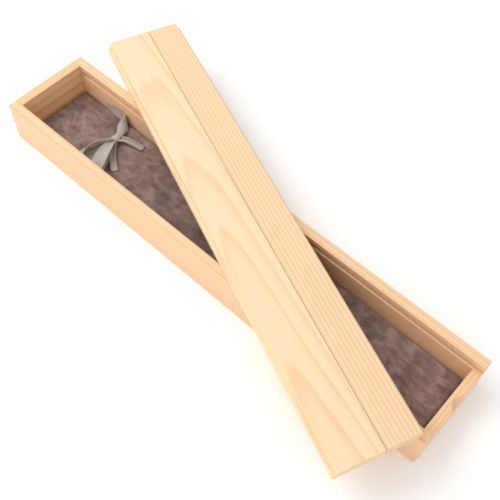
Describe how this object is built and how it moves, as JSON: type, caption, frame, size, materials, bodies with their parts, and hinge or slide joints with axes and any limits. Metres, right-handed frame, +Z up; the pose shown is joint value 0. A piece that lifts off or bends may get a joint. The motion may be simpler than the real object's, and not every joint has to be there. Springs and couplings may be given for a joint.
{
  "type": "pen box",
  "caption": "Long narrow pine tray with a sliding lid laid across it, side grooves for the lid, a low end with a finger scoop, a suede pad and a tape tied in a bow.",
  "frame": {"origin": "centre of the tray's underside, on the face it stands on", "axes": "+Z up, +X along the tray to the low end where the lid slides in, +Y to the far side"},
  "size_m": [0.348, 0.18, 0.0405],
  "materials": {
    "pine_side": "sanded, unvarnished",
    "pine_end": "sanded, unvarnished",
    "pine_lid": "sanded, unvarnished",
    "plywood": "raw",
    "greyboard": "matte card",
    "suede": "napped",
    "cotton_tape": "woven"
  },
  "bodies": {
    "tray": {"side_wall_near": "pine_side", "side_wall_far": "pine_side", "end_wall_closed": "pine_end", "end_wall_open": "pine_end", "bottom_panel": "plywood", "pad_board": "greyboard", "pad_cushion": "suede", "tape_far": "cotton_tape", "tape_near": "cotton_tape", "bow_knot": "cotton_tape", "bow_loop_left": "cotton_tape", "bow_loop_right": "cotton_tape", "bow_tail_short": "cotton_tape", "bow_tail_long": "cotton_tape"},
    "lid": {"lid_board_wide": "pine_lid", "lid_board_narrow": "pine_lid"}
  },
  "joints": [
    {"name": "lid_lift", "type": "slide", "parent": "tray", "child": "lid", "axis": [0, 0, 1], "range_m": [0, 0.12]}
  ]
}
